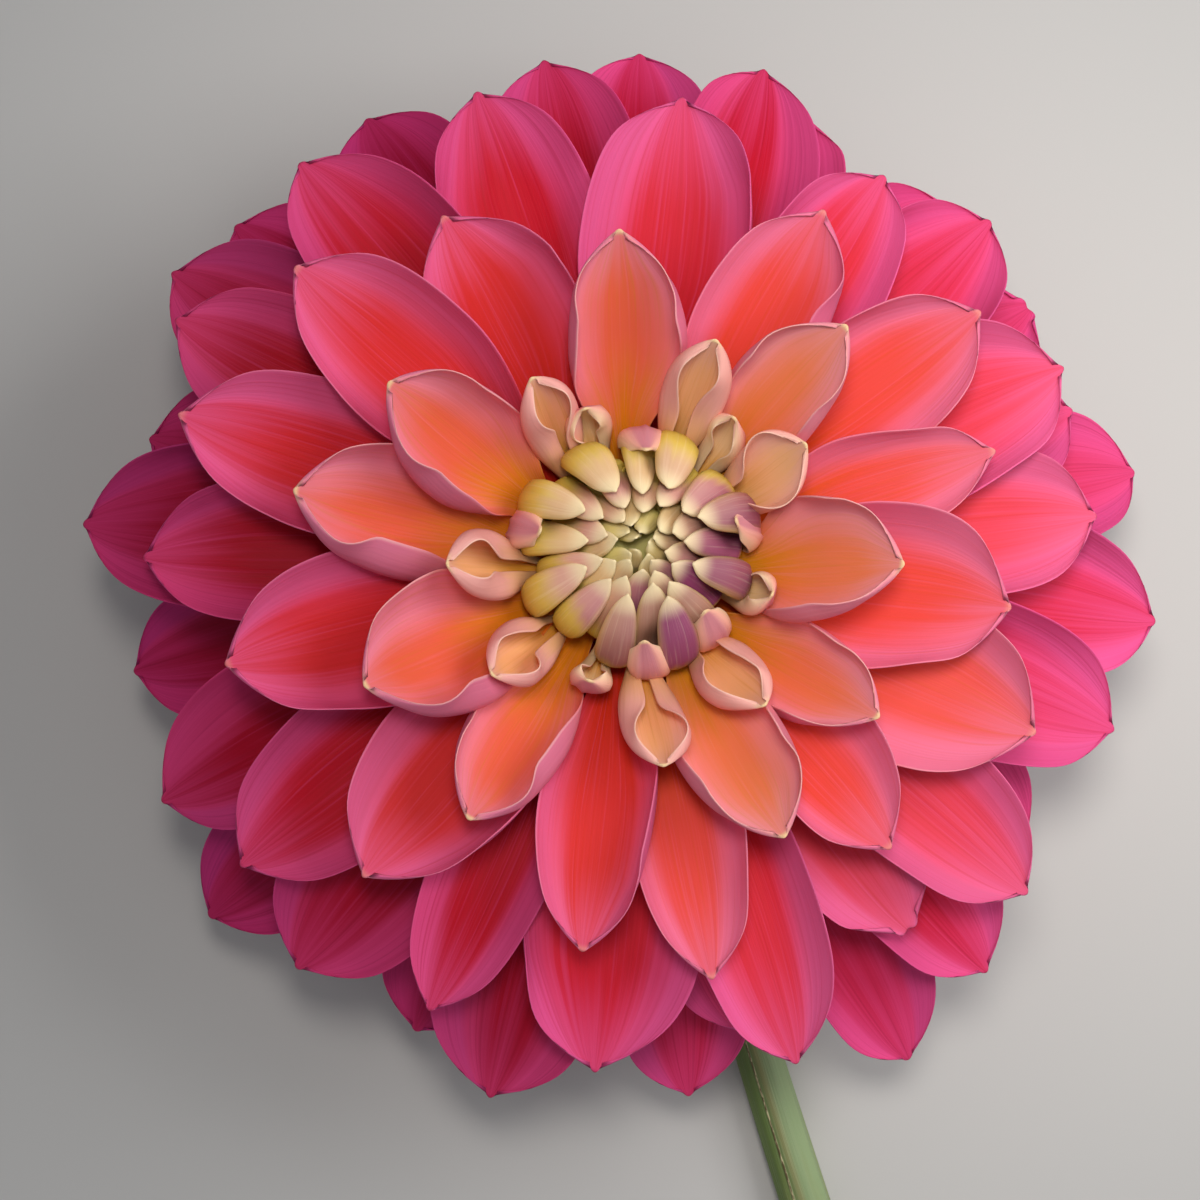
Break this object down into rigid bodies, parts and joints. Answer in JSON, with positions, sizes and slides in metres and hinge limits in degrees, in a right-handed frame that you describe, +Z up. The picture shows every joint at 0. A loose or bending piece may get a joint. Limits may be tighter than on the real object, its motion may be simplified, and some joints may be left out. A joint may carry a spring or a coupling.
{
  "type": "cut dahlia",
  "caption": "Single cut dahlia lying face up on its back petals: a double bloom of cupped petals round closed central buds, with a long bare stem that ends in a slanted cut.",
  "frame": {"origin": "on the surface, under the middle of the whole flower's outline", "axes": "+Y along the stem from its cut end to the bloom; +Z up, out of the bloom's face"},
  "size_m": [0.1176, 0.2671, 0.0574],
  "materials": {
    "stem": "soft satin, finely ribbed lengthwise",
    "bract": "satin leaf green",
    "petal_crimson": "velvety, with fine lengthwise veins",
    "petal_rose": "velvety, paler towards the margins",
    "petal_coral": "velvety, running to gold at the base",
    "petal_peach": "velvety, cream rims",
    "bud_cream": "satin, mauve towards the tips"
  },
  "bodies": {
    "root": {"stem": "stem", "calyx": "bract", "outer_petals": "petal_crimson", "middle_petals": "petal_rose", "coral_petals": "petal_coral", "inner_petals": "petal_peach", "centre_buds": "bud_cream"}
  },
  "joints": []
}
